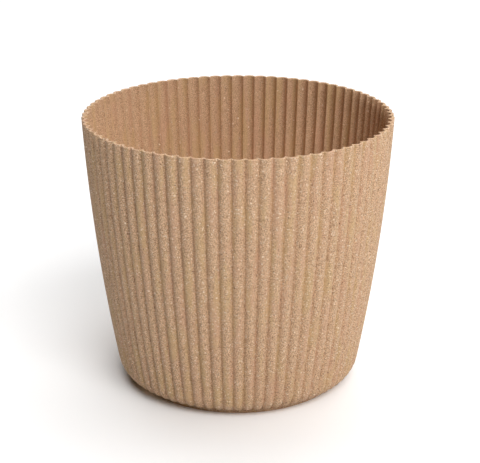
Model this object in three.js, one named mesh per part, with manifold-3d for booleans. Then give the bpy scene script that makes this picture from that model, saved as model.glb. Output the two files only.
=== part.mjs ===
// A round plastic plant pot with a fluted wall, and the stopper that closes its drain hole.
// Millimetres, +Z up. The origin is on the surface the pot stands on, at the pot's centre.
import * as THREE from "three";
import { mergeVertices } from "three/addons/utils/BufferGeometryUtils.js";
import Module from "manifold-3d";

// The pot's outside, measured over the crests of its ribs
const HEIGHT = 134;
const RIM_RADIUS = 75;
const RIM_LEAN = THREE.MathUtils.degToRad(2.9); // how far the wall leans in, going down, at the rim
const HEEL_LEAN = THREE.MathUtils.degToRad(10.25); // and where the wall runs into the heel
const HEEL_ROUND = 10.1; // radius that turns the wall under the pot
const HEEL_END_LEAN = THREE.MathUtils.degToRad(50); // lean of the crests where the heel is cut off level

// The ribs, which show on both faces of the wall
const RIB_COUNT = 76;
const RIB_DEPTH = 1.8; // crest to groove at the rim
const RIB_FADE_START = THREE.MathUtils.degToRad(72); // lean at which the ribs inside begin to die away

// Thicknesses
const WALL = 1.4;
const FLOOR = 2;

// The foot ring under the pot, cut through by slots that let drained water out
const FOOT_HEIGHT = 3.9;
const FOOT_SETBACK = 4.6; // from the ribs' ends in to the ring's outside
const FOOT_WIDTH = 4;
const FOOT_SLOT_COUNT = 2;
const FOOT_SLOT_WIDTH = 8;

// The drain hole and its stopper
const DRAIN_RADIUS = 6;
const STOPPER_CLEARANCE = 0.3; // between the stopper's plug and the hole
const STOPPER_GROUND_GAP = 2.2; // left between the plug and the surface the pot stands on
const STOPPER_TAPER = 0.5; // the plug is this much slimmer at its lower end
const STOPPER_LIP = 3.5; // how far the stopper's head covers the floor round the hole
const STOPPER_HEAD = 1.8; // the head's thickness
const STOPPER_HEAD_CHAMFER = 0.9;
const GRIP_HEIGHT = 5;
const GRIP_RADIUS = 3;
const GRIP_CHAMFER = 1;
const GRIP_WAIST_RADIUS = 2.1;
const GRIP_WAIST_HEIGHT = 1.7; // the waist's height above the head
const GRIP_KNOB_HEIGHT = 2; // the full-width top part, over the waist

// How finely the curves are faceted
const POINTS_PER_RIB = 4;
const WALL_STEPS = 3;
const OUTER_HEEL_STEPS = 4;
const INNER_HEEL_STEPS = 3;
const ROUND_SEGMENTS = 48;

const CUT_MARGIN = 2; // how far a cutting tool runs past the face that it cuts
const MERGE_DISTANCE = 1e-4; // points closer than this are one point

const underside = FOOT_HEIGHT;
const floorTop = underside + FLOOR;
const heelCentreZ = underside + HEEL_ROUND * Math.sin(HEEL_END_LEAN);
const heelTopZ = heelCentreZ - HEEL_ROUND * Math.sin(HEEL_LEAN);
// The wall is one arc whose lean grows from RIM_LEAN at the rim to HEEL_LEAN at the heel.
const wallArcRadius = (HEIGHT - heelTopZ) / (Math.sin(HEEL_LEAN) - Math.sin(RIM_LEAN));

const wasm = await Module();
wasm.setup();

// The wall's radius over the rib crests, on its outer face, at height z.
function wallRadius(z) {
  const lean = Math.asin(Math.sin(RIM_LEAN) + (HEIGHT - z) / wallArcRadius);
  return RIM_RADIUS - wallArcRadius * (Math.cos(RIM_LEAN) - Math.cos(lean));
}

// The share of the ribs' depth that is left where the surface leans in by this angle.
function ribFade(lean) {
  if (lean <= RIB_FADE_START) return 1;
  const share = (lean - RIB_FADE_START) / (Math.PI / 2 - RIB_FADE_START);
  return Math.cos((share * Math.PI) / 2);
}

// How far a face lies under its crests, as a share of the depth. across runs from 0 on a crest to 1 in a
// groove. Each rib is a round arc, which meets its neighbours in a sharp groove outside and a sharp ridge inside.
function ribShape(across) {
  const halfPitch = (Math.PI * RIM_RADIUS) / RIB_COUNT;
  const arcRadius = (halfPitch ** 2 + RIB_DEPTH ** 2) / (2 * RIB_DEPTH);
  return (arcRadius - Math.sqrt(arcRadius ** 2 - (halfPitch * across) ** 2)) / RIB_DEPTH;
}

// A ring is one level of a ribbed surface: its crest radius and height, and the lean of the surface,
// which turns the ribs' depth from level on the wall to upright under the heel.
function wallRing(z, inset) {
  return { radius: wallRadius(z) - inset, z, turn: 0, fade: 1 };
}

// The heel's rings, from just under the wall down to where it would lie level.
function heelRings(roundRadius, inset, steps) {
  const startZ = heelCentreZ - roundRadius * Math.sin(HEEL_LEAN);
  const centreRadius = wallRadius(startZ) - inset - roundRadius * Math.cos(HEEL_LEAN);
  const rings = [];
  for (let i = 1; i <= steps; i++) {
    const share = i / steps;
    const lean = HEEL_LEAN + share * (Math.PI / 2 - HEEL_LEAN);
    rings.push({
      radius: centreRadius + roundRadius * Math.cos(lean),
      z: heelCentreZ - roundRadius * Math.sin(lean),
      turn: (share * Math.PI) / 2,
      fade: ribFade(lean),
    });
  }
  return rings;
}

// The rings of one face of the pot, from topZ down to the end of the heel's round.
function faceRings(topZ, roundRadius, inset, heelSteps) {
  const startZ = heelCentreZ - roundRadius * Math.sin(HEEL_LEAN);
  const rings = [];
  for (let i = 0; i <= WALL_STEPS; i++) {
    rings.push(wallRing(topZ + ((startZ - topZ) * i) / WALL_STEPS, inset));
  }
  return rings.concat(heelRings(roundRadius, inset, heelSteps));
}

// A closed solid whose side passes through the rings, listed from the top down, with flat ends.
function ribbedSolid(rings) {
  const columns = RIB_COUNT * POINTS_PER_RIB;
  const positions = [];
  for (const ring of rings) {
    const depth = RIB_DEPTH * (ring.radius / RIM_RADIUS) * ring.fade;
    for (let column = 0; column < columns; column++) {
      const angle = (column / columns) * Math.PI * 2;
      const place = (column % POINTS_PER_RIB) / POINTS_PER_RIB;
      const drop = depth * ribShape(1 - Math.abs(1 - 2 * place));
      const radius = ring.radius - drop * Math.cos(ring.turn);
      positions.push(
        radius * Math.cos(angle),
        radius * Math.sin(angle),
        ring.z + drop * Math.sin(ring.turn),
      );
    }
  }
  const top = positions.length / 3;
  const bottom = top + 1;
  const last = rings.length - 1;
  positions.push(0, 0, rings[0].z, 0, 0, rings[last].z);
  const triangles = [];
  for (let column = 0; column < columns; column++) {
    const next = (column + 1) % columns;
    triangles.push(top, column, next);
    triangles.push(bottom, last * columns + next, last * columns + column);
    for (let level = 0; level < last; level++) {
      const upper = level * columns;
      const lower = upper + columns;
      triangles.push(upper + column, lower + column, lower + next);
      triangles.push(upper + column, lower + next, upper + next);
    }
  }
  const geometry = new THREE.BufferGeometry();
  geometry.setAttribute("position", new THREE.Float32BufferAttribute(positions, 3));
  geometry.setIndex(triangles);
  return geometry;
}

// A solid turned about Z from an outline of [radius, z] points.
function turned(outline) {
  const points = outline.map(([radius, z]) => new THREE.Vector2(radius, z));
  return new THREE.LatheGeometry(points, ROUND_SEGMENTS).rotateX(Math.PI / 2);
}

// An upright cylinder between two heights.
function cylinder(radius, lowZ, highZ) {
  return new THREE.CylinderGeometry(radius, radius, highZ - lowZ, ROUND_SEGMENTS)
    .rotateX(Math.PI / 2)
    .translate(0, 0, (lowZ + highZ) / 2);
}

function toManifold(geometry) {
  const bare = geometry.clone();
  bare.deleteAttribute("normal");
  bare.deleteAttribute("uv");
  const merged = mergeVertices(bare, MERGE_DISTANCE);
  return new wasm.Manifold(
    new wasm.Mesh({
      numProp: 3,
      vertProperties: merged.attributes.position.array,
      triVerts: new Uint32Array(merged.index.array),
    }),
  );
}

function toGeometry(manifold) {
  const mesh = manifold.getMesh();
  const geometry = new THREE.BufferGeometry();
  geometry.setAttribute("position", new THREE.BufferAttribute(mesh.vertProperties, 3));
  geometry.setIndex(new THREE.BufferAttribute(mesh.triVerts, 1));
  geometry.computeVertexNormals();
  return geometry;
}

// The foot ring, whose top is sunk into the floor so that they join.
function footRing(ribEndRadius) {
  const outer = ribEndRadius - FOOT_SETBACK;
  const inner = outer - FOOT_WIDTH;
  const sunkTop = underside + FLOOR / 2;
  let ring = toManifold(cylinder(outer, 0, sunkTop));
  ring = ring.subtract(toManifold(cylinder(inner, -CUT_MARGIN, sunkTop + CUT_MARGIN)));
  for (let i = 0; i < FOOT_SLOT_COUNT; i++) {
    const slot = new THREE.BoxGeometry(outer, FOOT_SLOT_WIDTH, FOOT_HEIGHT + CUT_MARGIN)
      .translate(outer, 0, (FOOT_HEIGHT - CUT_MARGIN) / 2)
      .rotateZ((i / FOOT_SLOT_COUNT) * Math.PI * 2);
    ring = ring.subtract(toManifold(slot));
  }
  return ring;
}

function potShell() {
  const outerRings = faceRings(HEIGHT, HEEL_ROUND, 0, OUTER_HEEL_STEPS);
  const innerRound = heelCentreZ - floorTop;
  const innerRings = faceRings(HEIGHT + CUT_MARGIN, innerRound, WALL, INNER_HEEL_STEPS);
  const ribEndRadius = outerRings.at(-1).radius + HEEL_ROUND * Math.cos(HEEL_END_LEAN);
  const body = toManifold(ribbedSolid(outerRings)).trimByPlane([0, 0, 1], underside);
  const hollow = toManifold(ribbedSolid(innerRings));
  const drain = toManifold(cylinder(DRAIN_RADIUS, -CUT_MARGIN, floorTop + CUT_MARGIN));
  return toGeometry(body.subtract(hollow).add(footRing(ribEndRadius)).subtract(drain));
}

// The stopper: a tapered plug in the drain hole, a flat head on the floor and a waisted grip on top.
function stopper() {
  const plugRadius = DRAIN_RADIUS - STOPPER_CLEARANCE;
  const headTop = floorTop + STOPPER_HEAD;
  const headRadius = DRAIN_RADIUS + STOPPER_LIP;
  const gripTop = headTop + GRIP_HEIGHT;
  return turned([
    [0, STOPPER_GROUND_GAP],
    [plugRadius - STOPPER_TAPER, STOPPER_GROUND_GAP],
    [plugRadius, floorTop],
    [headRadius, floorTop],
    [headRadius, headTop - STOPPER_HEAD_CHAMFER],
    [headRadius - STOPPER_HEAD_CHAMFER, headTop],
    [GRIP_RADIUS, headTop],
    [GRIP_WAIST_RADIUS, headTop + GRIP_WAIST_HEIGHT],
    [GRIP_RADIUS, gripTop - GRIP_KNOB_HEIGHT],
    [GRIP_RADIUS, gripTop - GRIP_CHAMFER],
    [GRIP_RADIUS - GRIP_CHAMFER, gripTop],
    [0, gripTop],
  ]);
}

const woodFilledPlastic = new THREE.MeshStandardMaterial({
  color: new THREE.Color(0.79, 0.64, 0.5),
  roughness: 0.75,
  metalness: 0,
});
const softRubber = new THREE.MeshStandardMaterial({
  color: new THREE.Color(0.27, 0.2, 0.15),
  roughness: 0.85,
  metalness: 0,
});

const pot = new THREE.Group();

const shellMesh = new THREE.Mesh(potShell(), woodFilledPlastic);
shellMesh.name = "pot_shell";
pot.add(shellMesh);

const stopperMesh = new THREE.Mesh(stopper(), softRubber);
stopperMesh.name = "drain_stopper";
pot.add(stopperMesh);

export default pot;
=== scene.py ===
import math

import bpy
import numpy as np
from mathutils import Matrix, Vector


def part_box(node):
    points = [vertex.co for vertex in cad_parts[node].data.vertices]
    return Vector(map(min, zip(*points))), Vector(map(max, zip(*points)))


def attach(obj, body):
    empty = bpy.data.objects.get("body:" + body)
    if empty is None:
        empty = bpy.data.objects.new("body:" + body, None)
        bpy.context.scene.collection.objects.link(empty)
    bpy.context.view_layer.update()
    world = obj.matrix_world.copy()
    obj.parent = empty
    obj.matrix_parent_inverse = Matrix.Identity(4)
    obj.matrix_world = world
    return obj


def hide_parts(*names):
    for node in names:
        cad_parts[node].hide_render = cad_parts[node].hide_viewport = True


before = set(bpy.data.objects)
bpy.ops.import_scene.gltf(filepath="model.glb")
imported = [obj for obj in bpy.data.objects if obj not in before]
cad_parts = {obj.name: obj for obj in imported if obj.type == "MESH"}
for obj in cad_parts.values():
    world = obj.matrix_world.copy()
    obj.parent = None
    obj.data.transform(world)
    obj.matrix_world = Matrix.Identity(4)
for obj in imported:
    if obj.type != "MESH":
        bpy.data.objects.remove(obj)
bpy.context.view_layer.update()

MM = 0.001
shell_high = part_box("pot_shell")[1]
stopper_low, stopper_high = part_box("drain_stopper")

# The pot's outside, over the crests of its ribs
HEIGHT = shell_high.z
RIM_RADIUS = shell_high.x
RIM_LEAN = math.radians(2.9)
HEEL_LEAN = math.radians(10.25)  # lean of the wall where the heel's round begins
HEEL_ROUND = 10.1 * MM
HEEL_END_LEAN = math.radians(50)  # lean of the crests where the heel is cut off level

# The ribs
RIB_COUNT = 76
RIB_DEPTH = 1.8 * MM  # at the rim
RIB_FADE_START = math.radians(72)  # lean at which the ribs inside begin to die away
RIB_END_EDGE = 0.2 * MM  # height of the edge in which the ribs end
RIB_END_FLATS = (1, 3)  # first level rings behind the ribs' ends, in heights of that edge
GROOVE_ROUND = 0.28 * MM  # radius at the bottom of a groove on the outside, at the rim
RIDGE_ROUND = 0.45 * MM  # radius on top of the ridges inside, at the rim

# Thicknesses, the foot and the drain hole
WALL = 1.4 * MM
FLOOR_THICKNESS = 2 * MM
EDGE_ROUND = 0.32 * MM  # radius on the rim's two edges
FOOT_HEIGHT = 3.9 * MM
FOOT_SETBACK = 4.6 * MM  # from the ribs' ends in to the ring's outside
FOOT_WIDTH = 4 * MM
FOOT_EDGE = 0.3 * MM  # radius on the ring's two lower edges
FOOT_DRAFT = 0.15 * MM  # how much wider the ring is on each side where it meets the pot
FOOT_MARGIN = 0.6 * MM  # flat ring inside the foot
FOOT_SLOT_COUNT = 2
FOOT_SLOT_WIDTH = 8 * MM
FOOT_SLOT_DRAFT = 0.6 * MM  # width of the slope on each side of a slot
DRAIN_RADIUS = 6 * MM
DRAIN_EDGE = 0.3 * MM  # radius on the hole's two edges

UNDERSIDE = FOOT_HEIGHT
FLOOR_TOP = UNDERSIDE + FLOOR_THICKNESS
HEEL_CENTRE_Z = UNDERSIDE + HEEL_ROUND * math.sin(HEEL_END_LEAN)
HEEL_TOP_Z = HEEL_CENTRE_Z - HEEL_ROUND * math.sin(HEEL_LEAN)
WALL_ARC = (HEIGHT - HEEL_TOP_Z) / (math.sin(HEEL_LEAN) - math.sin(RIM_LEAN))  # the wall's radius
FLAT_LEAN = math.pi / 2  # the lean of a surface that lies level

# How finely the pot is meshed
POINTS_PER_RIB = 14
GROOVE_CROWDING = 0.55  # how much closer the points are in a groove than on a crest
COLUMNS = RIB_COUNT * POINTS_PER_RIB
COARSE_STEP = 7  # columns that one column stands for, on the flats round the drain hole
COARSE_COLUMNS = COLUMNS // COARSE_STEP
FLAT_RADII = (40 * MM, 20 * MM)  # rings between the foot or the heel and the drain hole
FLOOR_MARGIN = 2 * MM  # flat ring between the heel's inner end and the first of those rings
WALL_STEPS = 26
HEEL_STEPS = 14
LEVEL_SEARCH_STEPS = 24  # halvings that find where a column meets the underside
EDGE_STEPS = 4
EDGE_ANGLES = [step / EDGE_STEPS * math.pi / 2 for step in range(EDGE_STEPS + 1)]

# The camera, fitted to the outline of the pot in the photograph
CAMERA_DISTANCE = 650.5 * MM  # level, from the pot's axis
CAMERA_HEIGHT = 316.9 * MM
CAMERA_PITCH = math.radians(20.53)
CAMERA_YAW = math.radians(-0.085)
CAMERA_SENSOR = 36  # millimetres
CAMERA_LENS = 105.03  # millimetres


# The pot's form

def column_phases():
    """Where each point of a rib lies: 0 on its crest, 0.5 in the groove and 1 on the next crest."""
    even = np.arange(POINTS_PER_RIB) / POINTS_PER_RIB
    return even + GROOVE_CROWDING * np.sin(2 * math.pi * even) / (2 * math.pi)


PHASES = np.tile(column_phases(), RIB_COUNT)
ANGLES = (np.repeat(np.arange(RIB_COUNT), POINTS_PER_RIB) + PHASES) * 2 * math.pi / RIB_COUNT
ACROSS = 1 - np.abs(1 - 2 * PHASES)  # 0 on a crest, 1 in a groove


def wall_radius(z):
    """The radius over the crests at height z. The wall is one arc that leans in more the lower it is."""
    lean = math.asin(math.sin(RIM_LEAN) + (HEIGHT - z) / WALL_ARC)
    return RIM_RADIUS - WALL_ARC * (math.cos(RIM_LEAN) - math.cos(lean))


def rib_fade(lean):
    """The share of the ribs' depth that is left where the surface leans in by this angle."""
    return np.cos(np.clip((lean - RIB_FADE_START) / (FLAT_LEAN - RIB_FADE_START), 0, 1) * math.pi / 2)


def rib_drop(crest_radius, inset):
    """How far each column lies under the crests, for the surface that runs inset inside the crests.
    A rib is a round arc, and a small round joins it to its neighbour."""
    size = crest_radius / RIM_RADIUS
    depth = RIB_DEPTH * size
    half_pitch = math.pi * crest_radius / RIB_COUNT
    both_rounds = (half_pitch**2 + depth**2) / (2 * depth)
    groove = (GROOVE_ROUND + (RIDGE_ROUND - GROOVE_ROUND) * min(inset / WALL, 1)) * size
    crest = both_rounds - groove
    x = ACROSS * half_pitch
    meet = half_pitch * crest / both_rounds
    on_crest = crest - np.sqrt(np.maximum(crest**2 - x**2, 0))
    in_groove = depth - groove + np.sqrt(np.maximum(groove**2 - (half_pitch - x) ** 2, 0))
    return np.where(x <= meet, on_crest, in_groove)


def ring_points(radius, z):
    """The points of a ring, from the radius and the height of its columns."""
    height = np.broadcast_to(z, ANGLES.shape)
    return np.stack([radius * np.cos(ANGLES), radius * np.sin(ANGLES), height], axis=1)


def ribbed_ring(crest_radius, z, inset):
    """One level of a ribbed face of the wall."""
    return ring_points(crest_radius - inset - rib_drop(crest_radius, inset), z)


def heel_centre_radius(heel_round, inset):
    """The radius of the circle that the heel's round is drawn about."""
    start_z = HEEL_CENTRE_Z - heel_round * math.sin(HEEL_LEAN)
    return wall_radius(start_z) - inset - heel_round * math.cos(HEEL_LEAN)


RIB_END_RADIUS = heel_centre_radius(HEEL_ROUND, 0) + HEEL_ROUND * math.cos(HEEL_END_LEAN)
FOOT_OUTER = RIB_END_RADIUS - FOOT_SETBACK
FOOT_INNER = FOOT_OUTER - FOOT_WIDTH


def heel_turn(lean):
    """How far the ribs' depth has swung from level to upright."""
    return (lean - HEEL_LEAN) / (FLAT_LEAN - HEEL_LEAN) * math.pi / 2


def heel_ring(heel_round, inset, lean):
    """The points of the heel where each column leans in by its own angle."""
    centre = heel_centre_radius(heel_round, inset)
    start_crest = centre + heel_round * math.cos(HEEL_LEAN) + inset
    across = heel_round * np.cos(lean)
    drop = rib_drop(start_crest, inset) * (centre + across) / (start_crest - inset) * rib_fade(lean)
    turn = heel_turn(lean)
    radius = centre + across - drop * np.cos(turn)
    return ring_points(radius, HEEL_CENTRE_Z - heel_round * np.sin(lean) + drop * np.sin(turn))


def heel_rings(heel_round, inset, end_lean):
    """The rings that turn the wall under the pot, from just below the wall to where the columns lean in by
    end_lean."""
    shares = np.arange(1, HEEL_STEPS + 1) / HEEL_STEPS
    return [heel_ring(heel_round, inset, HEEL_LEAN + share * (end_lean - HEEL_LEAN)) for share in shares]


def level_lean(height):
    """The lean at which each column of the outer heel has come down to this height."""
    low = np.full(COLUMNS, HEEL_LEAN)
    high = np.full(COLUMNS, FLAT_LEAN)
    for _ in range(LEVEL_SEARCH_STEPS):
        middle = (low + high) / 2
        is_above = heel_ring(HEEL_ROUND, 0.0, middle)[:, 2] > height
        low = np.where(is_above, middle, low)
        high = np.where(is_above, high, middle)
    return low


def outer_heel_rings():
    """The outer heel, the small edge in which its ribs end, and the start of the level underside."""
    rings = heel_rings(HEEL_ROUND, 0.0, level_lean(UNDERSIDE + RIB_END_EDGE))
    end = heel_ring(HEEL_ROUND, 0.0, level_lean(UNDERSIDE))
    end_radius = np.hypot(end[:, 0], end[:, 1])
    return rings + [ring_points(end_radius - RIB_END_EDGE * steps, UNDERSIDE) for steps in RIB_END_FLATS]


def wall_rings(heel_round, inset):
    """The rings of the wall, from the rim's edge down to the heel."""
    top_z = HEIGHT - EDGE_ROUND
    bottom_z = HEEL_CENTRE_Z - heel_round * math.sin(HEEL_LEAN)
    heights = [top_z] + list(np.linspace(top_z - 2 * EDGE_ROUND, bottom_z, WALL_STEPS))
    return [ribbed_ring(wall_radius(z), z, inset) for z in heights]


def rim_rings():
    """The rim's rounded edges, from the outer wall over the top to the inner wall."""
    rings = []
    for angle in EDGE_ANGLES[1:]:
        z = HEIGHT - EDGE_ROUND * (1 - math.sin(angle))
        rings.append(ribbed_ring(wall_radius(z), z, EDGE_ROUND * (1 - math.cos(angle))))
    for angle in EDGE_ANGLES[:-1]:
        z = HEIGHT - EDGE_ROUND * (1 - math.cos(angle))
        rings.append(ribbed_ring(wall_radius(z), z, WALL - EDGE_ROUND * (1 - math.sin(angle))))
    return rings


def slot_share(radius):
    """How far each column is lifted by the foot's slots at this radius: 1 inside a slot, 0 outside, and
    smoothly in between on its sides."""
    share = np.zeros(COLUMNS)
    for slot in range(FOOT_SLOT_COUNT):
        turned = ANGLES - slot / FOOT_SLOT_COUNT * 2 * math.pi
        sideways = np.abs(radius * np.sin(turned))
        inside = (FOOT_SLOT_WIDTH / 2 + FOOT_SLOT_DRAFT - sideways) / FOOT_SLOT_DRAFT
        inside = np.where(np.cos(turned) > 0, np.clip(inside, 0, 1), 0)
        share = np.maximum(share, inside * inside * (3 - 2 * inside))
    return share


def foot_rings():
    """The foot ring's section, from its outside to its inside, lifted to the underside in the slots."""
    outer = FOOT_OUTER - FOOT_DRAFT
    inner = FOOT_INNER + FOOT_DRAFT
    section = [(FOOT_OUTER + FOOT_EDGE, UNDERSIDE), (FOOT_OUTER, UNDERSIDE - FOOT_EDGE)]
    for angle in EDGE_ANGLES:
        section.append((outer - FOOT_EDGE * (1 - math.cos(angle)), FOOT_EDGE * (1 - math.sin(angle))))
    for angle in EDGE_ANGLES:
        section.append((inner + FOOT_EDGE * (1 - math.sin(angle)), FOOT_EDGE * (1 - math.cos(angle))))
    section += [(FOOT_INNER, UNDERSIDE), (FOOT_INNER - FOOT_MARGIN, UNDERSIDE)]
    rings = []
    for radius, z in section:
        ring = ring_points(radius, z)
        ring[:, 2] += (UNDERSIDE - z) * slot_share(radius)
        rings.append(ring)
    return rings


def drain_rings():
    """The coarse rings from the underside up through the drain hole and out over the floor."""
    flats = [(radius, 0) for radius in FLAT_RADII] + [(DRAIN_RADIUS + 2 * DRAIN_EDGE, 0)]
    edge = []
    for angle in EDGE_ANGLES:
        out = DRAIN_RADIUS + DRAIN_EDGE * (1 - math.sin(angle))
        edge.append((out, DRAIN_EDGE * (1 - math.cos(angle))))
    section = [(radius, UNDERSIDE + z) for radius, z in flats + edge]
    section += [(radius, FLOOR_TOP - z) for radius, z in reversed(flats + edge)]
    return [ring_points(radius, z)[::COARSE_STEP] for radius, z in section]


def join_rings(first, second, count):
    """Quads between two rings of count points each, given by the numbers of their first points."""
    here = np.arange(count)
    there = (here + 1) % count
    return np.stack([first + here, second + here, second + there, first + there], axis=1).tolist()


def join_fine_to_coarse(fine, coarse, fine_first):
    """Flat many-sided faces between a fine ring and a coarse one."""
    faces = []
    for index in range(COARSE_COLUMNS):
        run = [fine + (index * COARSE_STEP + step) % COLUMNS for step in range(COARSE_STEP + 1)]
        face = run + [coarse + (index + 1) % COARSE_COLUMNS, coarse + index]
        faces.append(face[::-1] if fine_first else face)
    return faces


def make_object(name, points, faces, materials, face_materials):
    """A smooth-shaded mesh in the scene. face_materials holds the number of each face's material."""
    mesh = bpy.data.meshes.new(name)
    mesh.from_pydata(points, [], faces)
    for material in materials:
        mesh.materials.append(material)
    mesh.polygons.foreach_set("material_index", face_materials)
    mesh.polygons.foreach_set("use_smooth", [True] * len(faces))
    mesh.update()
    mesh.validate()
    piece = bpy.data.objects.new(name, mesh)
    bpy.context.scene.collection.objects.link(piece)
    return piece


def make_pot(outer_material, inner_material):
    """The whole moulding as one closed skin: down the outside, under the foot, up the drain hole, out over
    the floor, up the inside and over the rim."""
    outer_face = wall_rings(HEEL_ROUND, 0.0) + outer_heel_rings() + foot_rings()
    drain = drain_rings()
    inner_round = HEEL_CENTRE_Z - FLOOR_TOP
    inner_face = [ring_points(heel_centre_radius(inner_round, WALL) - FLOOR_MARGIN, FLOOR_TOP)]
    inner_face += reversed(heel_rings(inner_round, WALL, FLAT_LEAN))
    inner_face += reversed(wall_rings(inner_round, WALL))
    rim = list(reversed(rim_rings()))

    points = []
    starts = []
    for ring in outer_face + drain + inner_face + rim:
        starts.append(len(points))
        points.extend(ring.tolist())
    first_drain = len(outer_face)
    first_inner = first_drain + len(drain)
    first_rim = first_inner + len(inner_face)
    faces = []
    face_materials = []
    for index, start in enumerate(starts):
        following = starts[(index + 1) % len(starts)]
        if index == first_drain - 1:
            strip = join_fine_to_coarse(start, following, True)
        elif index == first_inner - 1:
            strip = join_fine_to_coarse(following, start, False)
        elif first_drain <= index < first_inner:
            strip = join_rings(start, following, COARSE_COLUMNS)
        else:
            strip = join_rings(start, following, COLUMNS)
        faces.extend(strip)
        # The inner material begins halfway up the drain hole and ends below the rim's edge
        is_inner = first_drain + len(drain) // 2 <= index < first_rim
        face_materials.extend([1 if is_inner else 0] * len(strip))
    return make_object("pot", points, faces, [outer_material, inner_material], face_materials)


# The stopper's form, turned about its axis

STOPPER_SEGMENTS = 96
STOPPER_SHARP_ANGLE = math.radians(40)  # edges that turn by more than this are shaded sharp
STOPPER_ROUND = 0.35 * MM  # radius on the plug's lower edge, and depth of the hollow under it
ARC_STEPS = 6

PLUG_CLEARANCE = 0.3 * MM  # air between the plug's top and the drain hole
PLUG_TAPER = 0.5 * MM  # how much narrower the plug's radius is at its lower end
PLUG_RIM = 1.9 * MM  # from the plug's side in to the hollow under it
HOLLOW_SLOPE = 0.3 * MM  # width of the hollow's sloping side
BEAD_COUNT = 2
BEAD_HEIGHT = 0.12 * MM
BEAD_WIDTH = 0.5 * MM
BEAD_TOP = BEAD_WIDTH / 3  # its flat top
BEAD_START = 0.75  # height of the lowest bead above the plug's edge, in spacings of the beads
BEAD_SPACINGS = BEAD_COUNT + 0.5  # spacings that fit between the plug's edge and the floor's top

HEAD_HEIGHT = 1.8 * MM
HEAD_LOWER_ROUND = STOPPER_ROUND / 2
HEAD_UPPER_ROUND = 2 * STOPPER_ROUND
HEAD_LOWER_STEPS = 3
HEAD_GROOVE_DEPTH = 0.25 * MM
HEAD_GROOVE_EDGE = 1.6 * MM  # from the grip's radius out to the edge of the groove round it
HEAD_GROOVE_END = 1.2 * MM  # from there out to the outer end of the groove's flat bottom
HEAD_GROOVE_START = 0.6 * MM  # and to its inner end

GRIP_RADIUS = 3 * MM
WAIST_RADIUS = 2.1 * MM
WAIST_HEIGHT = 1.9 * MM  # above the head
WAIST_LENGTH = 0.5 * MM  # the straight stretch under that height
GRIP_BASE = 0.5 * MM  # how much wider than the waist the grip is where it meets the head
GRIP_BASE_FLARE = 0.12 * MM  # how much wider it still is at the top of its flare
GRIP_BASE_HEIGHT = 0.6 * MM
NECK_FLARE = 0.25 * MM  # how much wider than the waist the neck is, at its top
NECK_HEIGHT = 0.5 * MM
KNOB_ROUND = 0.8 * MM
KNOB_DEPTH = 1.5 * MM  # from the top down to the centre of the knob's round
KNOB_START = -50  # degrees
KNOB_END = 60
KNOB_FLAT = 1.2 * MM  # from the grip's radius in to the flat top's edge

STOPPER_BOTTOM = stopper_low.z
STOPPER_TOP = stopper_high.z
HEAD_RADIUS = stopper_high.x
HEAD_TOP = FLOOR_TOP + HEAD_HEIGHT
PLUG_EDGE_Z = STOPPER_BOTTOM + STOPPER_ROUND
PLUG_TOP_RADIUS = DRAIN_RADIUS - PLUG_CLEARANCE
PLUG_END_RADIUS = PLUG_TOP_RADIUS - PLUG_TAPER


def arc(centre, radius, start, end, steps=ARC_STEPS):
    """Points of a round in the section, from one angle to another in degrees, 0 outwards and 90 up."""
    angles = np.radians(np.linspace(start, end, steps + 1))
    return [(centre[0] + radius * math.cos(a), centre[1] + radius * math.sin(a)) for a in angles]


def bead_section(number):
    """One of the raised rings on the plug, counted from below."""
    spacing = (FLOOR_TOP - PLUG_EDGE_Z) / BEAD_SPACINGS
    middle = PLUG_EDGE_Z + (number + BEAD_START) * spacing
    side = PLUG_END_RADIUS + PLUG_TAPER * (middle - STOPPER_BOTTOM) / (FLOOR_TOP - STOPPER_BOTTOM)
    return [
        (side, middle - BEAD_WIDTH / 2),
        (side + BEAD_HEIGHT, middle - BEAD_TOP / 2),
        (side + BEAD_HEIGHT, middle + BEAD_TOP / 2),
        (side, middle + BEAD_WIDTH / 2),
    ]


def plug_section():
    """The plug, from the middle of the hollow in its underside, round its edge and up to the floor's top."""
    rim_start = PLUG_END_RADIUS - PLUG_RIM
    points = [(0, PLUG_EDGE_Z), (rim_start - HOLLOW_SLOPE, PLUG_EDGE_Z), (rim_start, STOPPER_BOTTOM)]
    points += arc((PLUG_END_RADIUS - STOPPER_ROUND, PLUG_EDGE_Z), STOPPER_ROUND, -90, 0)
    for number in range(BEAD_COUNT):
        points += bead_section(number)
    return points + [(PLUG_TOP_RADIUS, FLOOR_TOP)]


def head_section():
    """The flat head, from its lower edge to the groove round the grip."""
    lower = (HEAD_RADIUS - HEAD_LOWER_ROUND, FLOOR_TOP + HEAD_LOWER_ROUND)
    upper = (HEAD_RADIUS - HEAD_UPPER_ROUND, HEAD_TOP - HEAD_UPPER_ROUND)
    groove_z = HEAD_TOP - HEAD_GROOVE_DEPTH
    points = arc(lower, HEAD_LOWER_ROUND, -90, 0, HEAD_LOWER_STEPS) + arc(upper, HEAD_UPPER_ROUND, 0, 90)
    points += [(GRIP_RADIUS + HEAD_GROOVE_EDGE, HEAD_TOP), (GRIP_RADIUS + HEAD_GROOVE_END, groove_z)]
    return points + [(GRIP_RADIUS + HEAD_GROOVE_START, groove_z)]


def grip_section():
    """The waisted grip, from the groove round it to the middle of its top."""
    waist_z = HEAD_TOP + WAIST_HEIGHT
    points = [
        (WAIST_RADIUS + GRIP_BASE, HEAD_TOP),
        (WAIST_RADIUS + GRIP_BASE_FLARE, HEAD_TOP + GRIP_BASE_HEIGHT),
        (WAIST_RADIUS, waist_z - WAIST_LENGTH),
        (WAIST_RADIUS, waist_z),
        (WAIST_RADIUS + NECK_FLARE, waist_z + NECK_HEIGHT),
    ]
    points += arc((GRIP_RADIUS - KNOB_ROUND, STOPPER_TOP - KNOB_DEPTH), KNOB_ROUND, KNOB_START, KNOB_END)
    return points + [(GRIP_RADIUS - KNOB_FLAT, STOPPER_TOP), (0, STOPPER_TOP)]


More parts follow.
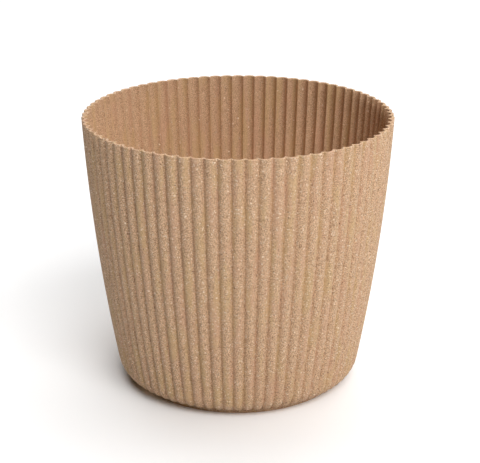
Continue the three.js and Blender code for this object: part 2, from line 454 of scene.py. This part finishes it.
def make_stopper(material):
    """The stopper: its section turned about the axis, and closed by a fan at each end of it."""
    section = plug_section() + head_section() + grip_section()
    turned = section[1:-1]
    angles = np.arange(STOPPER_SEGMENTS) / STOPPER_SEGMENTS * 2 * math.pi
    points = []
    for radius, z in turned:
        points += [(radius * math.cos(a), radius * math.sin(a), z) for a in angles]
    low_pole = len(points)
    points += [(0, 0, section[0][1]), (0, 0, section[-1][1])]
    faces = []
    for ring in range(len(turned) - 1):
        start = ring * STOPPER_SEGMENTS
        faces += [face[::-1] for face in join_rings(start, start + STOPPER_SEGMENTS, STOPPER_SEGMENTS)]
    last = (len(turned) - 1) * STOPPER_SEGMENTS
    for index in range(STOPPER_SEGMENTS):
        following = (index + 1) % STOPPER_SEGMENTS
        faces.append([low_pole, following, index])
        faces.append([low_pole + 1, last + index, last + following])
    piece = make_object("drain_stopper_rubber", points, faces, [material], [0] * len(faces))
    piece.data.set_sharp_from_angle(angle=STOPPER_SHARP_ANGLE)
    return piece


# Nodes that the materials are built from

TEXTURE_SCALE = 1000.0  # textures are laid out in millimetres


def srgb(red, green, blue):
    """A colour from 0-255 screen values, as the linear values that shaders take."""
    def one(value):
        share = value / 255
        return share / 12.92 if share <= 0.04045 else ((share + 0.055) / 1.055) ** 2.4
    return one(red), one(green), one(blue), 1.0


def new_material(name):
    """A material with an empty node tree, and that tree."""
    material = bpy.data.materials.new(name)
    material.use_nodes = True
    tree = material.node_tree
    tree.nodes.clear()
    return material, tree


def add_node(tree, kind, inputs=(), **settings):
    """A shader node with its settings. inputs are pairs: a socket's name or number, and its value or the
    socket that feeds it."""
    node = tree.nodes.new(kind)
    for key, value in settings.items():
        setattr(node, key, value)
    for key, value in inputs:
        if isinstance(value, bpy.types.NodeSocket):
            tree.links.new(value, node.inputs[key])
        else:
            node.inputs[key].default_value = value
    return node


def math_node(tree, operation, *values, clamp=False):
    """The result of a Math node on values or sockets."""
    node = add_node(tree, "ShaderNodeMath", enumerate(values), operation=operation, use_clamp=clamp)
    return node.outputs[0]


def vector_node(tree, operation, first, second):
    """The result of a Vector Math node on two vectors."""
    node = add_node(tree, "ShaderNodeVectorMath", [(0, first), (1, second)], operation=operation)
    return node.outputs[0]


def mix_colour(tree, factor, first, second):
    """From the first colour to the second. A Mix node's colours are its inputs 6 and 7 and its output 2."""
    inputs = [(0, factor), (6, first), (7, second)]
    return add_node(tree, "ShaderNodeMix", inputs, data_type="RGBA").outputs[2]


def ramp(tree, value, low, high):
    """0 where value is under low, 1 where it is over high, and smooth in between."""
    inputs = [("Value", value), ("From Min", low), ("From Max", high)]
    node = add_node(tree, "ShaderNodeMapRange", inputs, interpolation_type="SMOOTHSTEP")
    return node.outputs["Result"]


def spread(tree, value, low, high):
    """low where value is 0, high where it is 1, and in proportion in between."""
    inputs = [("Value", value), ("To Min", low), ("To Max", high)]
    return add_node(tree, "ShaderNodeMapRange", inputs).outputs["Result"]


def millimetres(tree, stretch=(1.0, 1.0, 1.0), shift=(0.0, 0.0, 0.0)):
    """The piece's own coordinates in millimetres, stretched and shifted."""
    place = add_node(tree, "ShaderNodeTexCoord").outputs["Object"]
    scale = tuple(TEXTURE_SCALE * share for share in stretch)
    inputs = [("Vector", place), ("Scale", scale), ("Location", shift)]
    return add_node(tree, "ShaderNodeMapping", inputs).outputs[0]


def noise(tree, place, size, detail=2.0, roughness=0.5):
    """Noise with features about size millimetres across."""
    inputs = [("Vector", place), ("Scale", 1 / size), ("Detail", detail), ("Roughness", roughness)]
    return add_node(tree, "ShaderNodeTexNoise", inputs)


def add_surface(tree, colour, roughness, specular, bump):
    """The shader that ends a material."""
    surface = add_node(tree, "ShaderNodeBsdfPrincipled", [
        ("Base Color", colour),
        ("Roughness", roughness),
        ("Specular IOR Level", specular),
        ("Normal", bump.outputs[0]),
    ])
    add_node(tree, "ShaderNodeOutputMaterial", [("Surface", surface.outputs[0])])


# The wood-filled plastic, with its sizes in millimetres

TAN_DEEP = srgb(160, 123, 90)
TAN_PALE = srgb(231, 193, 157)
TAN_PINK = srgb(203, 158, 128)
TAN_OLIVE = srgb(202, 169, 118)
FLAKE_PALE = srgb(255, 236, 208)
FLAKE_DARK = srgb(112, 76, 50)

NOISE_MIDDLE = 0.5  # the value that noise varies about
BEND_SIZE = 0.5  # waves that make the flakes uneven
BEND_REACH = 0.8
MOTTLE_SIZE = 0.36
MOTTLE_SPREAD = 0.12  # how far from the noise's middle the mottle is fully deep or pale
STREAK_STRETCH = (0.22, 0.22, 0.035)  # makes the streaks about 4.5 wide and 29 tall
STREAK_RANGE = (0.48, 0.68)  # noise between which a streak comes in
STREAK_STRENGTH = 0.45
STREAKS = ((TAN_PINK, (0, 0, 0)), (TAN_OLIVE, (37, 11, 5)))  # each tint, and a shift that sets it apart

FLAKE_LEAST = 0.5  # the smallest flake's share of the radius that is asked for
FLAKE_VARIETY = 0.6  # how much more the largest flake's share is
FLAKE_SOFTNESS = 0.25  # share of a flake's radius in which it fades out
FLAKE_SPACING = 0.7
DARK_FLAKE_RADIUS = 0.33
FINE_FLAKE_RADIUS = 0.31
COARSE_FLAKE_SPACING = 2.6
COARSE_FLAKE_RADIUS = 0.5

GRAIN_SIZE = 0.28
GRAIN_RANGE = (0.2, 0.8)  # grain at which the plastic is at its smoothest and at its roughest
SWELL_SIZE = 2.2
GRAIN_RELIEF = 0.6  # height of the grain, where the swell's is 1
FLAKE_RELIEF = 0.35  # and of the fine flakes
PLASTIC_ROUGHNESS = (0.55, 0.72)
PLASTIC_SPECULAR = 0.35


def flakes(tree, place, spacing, radius, share):
    """Scattered flakes: (mask, random value of the flake). share says how many places hold one."""
    cells = add_node(tree, "ShaderNodeTexVoronoi", [("Vector", place), ("Scale", 1 / spacing)])
    split = add_node(tree, "ShaderNodeSeparateColor", [(0, cells.outputs["Color"])])
    there = math_node(tree, "LESS_THAN", split.outputs[0], share)
    size = math_node(tree, "MULTIPLY_ADD", split.outputs[1], FLAKE_VARIETY, FLAKE_LEAST)
    reach = math_node(tree, "MULTIPLY", size, radius / spacing)
    inner = math_node(tree, "MULTIPLY", reach, 1 - FLAKE_SOFTNESS)
    spot = ramp(tree, cells.outputs["Distance"], inner, reach)
    spot = math_node(tree, "SUBTRACT", 1.0, spot, clamp=True)
    return math_node(tree, "MULTIPLY", spot, there), split.outputs[2]


def wood_filled_plastic(name, fine_share, coarse_share, dark_share, contrast, grain_height):
    """Tan plastic filled with wood fibre: mottled, faintly streaked along the ribs, with pale and dark
    flakes in it and a fine moulded grain. contrast is 1 where the flakes stand out fully."""
    material, tree = new_material(name)
    place = millimetres(tree)
    bend = noise(tree, place, BEND_SIZE).outputs["Color"]
    bend = vector_node(tree, "SUBTRACT", bend, (NOISE_MIDDLE,) * 3)
    bend = vector_node(tree, "MULTIPLY", bend, (BEND_REACH,) * 3)
    bent = vector_node(tree, "ADD", place, bend)

    mottle = noise(tree, place, MOTTLE_SIZE, detail=1.0).outputs["Fac"]
    reach = MOTTLE_SPREAD / contrast
    mottle = ramp(tree, mottle, NOISE_MIDDLE - reach, NOISE_MIDDLE + reach)
    colour = mix_colour(tree, mottle, TAN_DEEP, TAN_PALE)
    for tint, shift in STREAKS:
        streak = noise(tree, millimetres(tree, STREAK_STRETCH, shift), 1.0).outputs["Fac"]
        streak = math_node(tree, "MULTIPLY", ramp(tree, streak, *STREAK_RANGE), STREAK_STRENGTH)
        colour = mix_colour(tree, streak, colour, tint)

    dark, dark_random = flakes(tree, bent, FLAKE_SPACING, DARK_FLAKE_RADIUS, dark_share)
    dark = math_node(tree, "MULTIPLY", dark, math_node(tree, "MULTIPLY", dark_random, contrast))
    colour = mix_colour(tree, dark, colour, FLAKE_DARK)
    fine, fine_random = flakes(tree, bent, FLAKE_SPACING, FINE_FLAKE_RADIUS, fine_share)
    fine = math_node(tree, "MULTIPLY", fine, math_node(tree, "MULTIPLY", fine_random, contrast))
    colour = mix_colour(tree, fine, colour, FLAKE_PALE)
    coarse, coarse_random = flakes(tree, bent, COARSE_FLAKE_SPACING, COARSE_FLAKE_RADIUS, coarse_share)
    coarse = math_node(tree, "MULTIPLY", coarse, coarse_random)
    colour = mix_colour(tree, coarse, colour, FLAKE_PALE)

    grain = noise(tree, place, GRAIN_SIZE, detail=3.0, roughness=0.6).outputs["Fac"]
    swell = noise(tree, place, SWELL_SIZE).outputs["Fac"]
    height = math_node(tree, "MULTIPLY_ADD", grain, GRAIN_RELIEF, swell)
    height = math_node(tree, "ADD", height, math_node(tree, "MULTIPLY", fine, FLAKE_RELIEF))
    bump = add_node(tree, "ShaderNodeBump", [
        ("Strength", 1.0),
        ("Distance", grain_height),
        ("Height", height),
    ])
    rough = spread(tree, ramp(tree, grain, *GRAIN_RANGE), *PLASTIC_ROUGHNESS)
    add_surface(tree, colour, rough, PLASTIC_SPECULAR, bump)
    return material


# The stopper's rubber, with its sizes in millimetres

RUBBER_DEEP = srgb(66, 48, 36)
RUBBER_PALE = srgb(86, 65, 49)
RUBBER_DUST = srgb(150, 128, 108)
RUBBER_MOTTLE_SIZE = 1.6
RUBBER_MOTTLE_RANGE = (0.3, 0.7)
DUST_SIZE = 0.35
DUST_RANGE = (0.62, 0.8)  # noise between which dust comes in
DUST_STRENGTH = 0.35
RUBBER_GRAIN_SIZE = 0.2
RUBBER_GRAIN_HEIGHT = 0.03
RUBBER_GRAIN_STRENGTH = 0.6
RUBBER_ROUGHNESS = (0.62, 0.85)
RUBBER_SPECULAR = 0.4


def stopper_rubber():
    """Dark brown soft rubber, faintly mottled and dusty."""
    material, tree = new_material("stopper_rubber")
    place = millimetres(tree)
    mottle = noise(tree, place, RUBBER_MOTTLE_SIZE, detail=4.0, roughness=0.6).outputs["Fac"]
    colour = mix_colour(tree, ramp(tree, mottle, *RUBBER_MOTTLE_RANGE), RUBBER_DEEP, RUBBER_PALE)
    dust = noise(tree, place, DUST_SIZE, detail=3.0, roughness=0.7).outputs["Fac"]
    dusty = math_node(tree, "MULTIPLY", ramp(tree, dust, *DUST_RANGE), DUST_STRENGTH)
    colour = mix_colour(tree, dusty, colour, RUBBER_DUST)
    grain = noise(tree, place, RUBBER_GRAIN_SIZE).outputs["Fac"]
    bump = add_node(tree, "ShaderNodeBump", [
        ("Strength", RUBBER_GRAIN_STRENGTH),
        ("Distance", RUBBER_GRAIN_HEIGHT * MM),
        ("Height", grain),
    ])
    add_surface(tree, colour, spread(tree, dust, *RUBBER_ROUGHNESS), RUBBER_SPECULAR, bump)
    return material


# The setting: a studio floor, light and camera

STUDIO_FLOOR_SIZE = 12.0
STUDIO_FLOOR_WHITE = 1.03  # what the camera sees of the floor, so that its lit part is white
STUDIO_FLOOR_BOUNCE = 0.78  # what the floor gives back to the pot
LAMP_DISTANCE = 2.4  # from the pot's middle


def grey(level):
    """A grey as a shader's colour."""
    return level, level, level, 1


def make_studio_floor():
    """A plain floor, whiter to the camera than to the light that it gives back."""
    half = STUDIO_FLOOR_SIZE / 2
    corners = [(-half, -half, 0), (half, -half, 0), (half, half, 0), (-half, half, 0)]
    material, tree = new_material("floor")
    path = add_node(tree, "ShaderNodeLightPath")
    seen = add_node(tree, "ShaderNodeBsdfDiffuse", [("Color", grey(STUDIO_FLOOR_WHITE))])
    plain = add_node(tree, "ShaderNodeBsdfDiffuse", [("Color", grey(STUDIO_FLOOR_BOUNCE))])
    surface = add_node(tree, "ShaderNodeMixShader", [
        (0, path.outputs["Is Camera Ray"]),
        (1, plain.outputs[0]),
        (2, seen.outputs[0]),
    ])
    add_node(tree, "ShaderNodeOutputMaterial", [("Surface", surface.outputs[0])])
    floor = make_object("floor", corners, [(0, 1, 2, 3)], [material], [0])


def make_world():
    """A white surround that only the camera sees: the lamps give all the light."""
    world = bpy.data.worlds.new("world")
    bpy.context.scene.world = world
    world.use_nodes = True
    tree = world.node_tree
    tree.nodes.clear()
    path = add_node(tree, "ShaderNodeLightPath")
    surround = add_node(tree, "ShaderNodeBackground", [
        ("Color", grey(1)),
        ("Strength", path.outputs["Is Camera Ray"]),
    ])
    add_node(tree, "ShaderNodeOutputWorld", [("Surface", surround.outputs[0])])


def direction(azimuth, elevation):
    """A unit step from the pot, by degrees: azimuth 0 is towards the camera's side, -Y, and 90 is +X."""
    a, e = math.radians(azimuth), math.radians(elevation)
    return np.array([math.sin(a) * math.cos(e), -math.cos(a) * math.cos(e), math.sin(e)])


def look_axes(forward):
    """The right, up and back axes of something that looks along forward with its top up."""
    back = -np.asarray(forward)
    right = np.cross([0, 0, 1], back)
    right /= np.linalg.norm(right)
    return right, np.cross(back, right), back


def add_area_light(name, azimuth, elevation, size, strength):
    """A square soft light aimed at the pot's middle. strength is the level of a white surface there that
    faces it."""
    target = np.array([0, 0, HEIGHT / 2])
    data = bpy.data.lights.new(name, "AREA")
    data.shape = "SQUARE"
    data.size = size
    data.energy = strength * (math.pi * LAMP_DISTANCE) ** 2
    light = bpy.data.objects.new(name, data)
    towards = direction(azimuth, elevation)
    turn = Matrix([list(v) for v in look_axes(-towards)]).transposed().to_4x4()
    light.matrix_world = Matrix.Translation(target + towards * LAMP_DISTANCE) @ turn
    bpy.context.scene.collection.objects.link(light)


def make_camera():
    """The camera, on the -Y side of the pot."""
    data = bpy.data.cameras.new("camera")
    data.sensor_width = CAMERA_SENSOR
    data.lens = CAMERA_LENS
    camera = bpy.data.objects.new("camera", data)
    camera.location = (0, -CAMERA_DISTANCE, CAMERA_HEIGHT)
    camera.rotation_euler = (math.pi / 2 - CAMERA_PITCH, 0, CAMERA_YAW)
    bpy.context.scene.collection.objects.link(camera)
    bpy.context.scene.camera = camera


make_camera()
make_world()
make_studio_floor()
add_area_light("key", azimuth=24, elevation=46, size=1.4, strength=0.8)
add_area_light("side", azimuth=90, elevation=30, size=2.4, strength=0.38)
add_area_light("back", azimuth=180, elevation=60, size=2.8, strength=0.95)

outer_plastic = wood_filled_plastic(
    "wood_plastic_outside",
    fine_share=0.6,
    coarse_share=0.3,
    dark_share=0.75,
    contrast=1.0,
    grain_height=0.06 * MM,
)
inner_plastic = wood_filled_plastic(
    "wood_plastic_inside",
    fine_share=0.2,
    coarse_share=0.3,
    dark_share=0.3,
    contrast=0.5,
    grain_height=0.02 * MM,
)
pot = make_pot(outer_plastic, inner_plastic)
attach(pot, "pot")
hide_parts("pot_shell")

stopper = make_stopper(stopper_rubber())
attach(stopper, "stopper")
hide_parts("drain_stopper")

bpy.context.scene.view_settings.view_transform = "Standard"
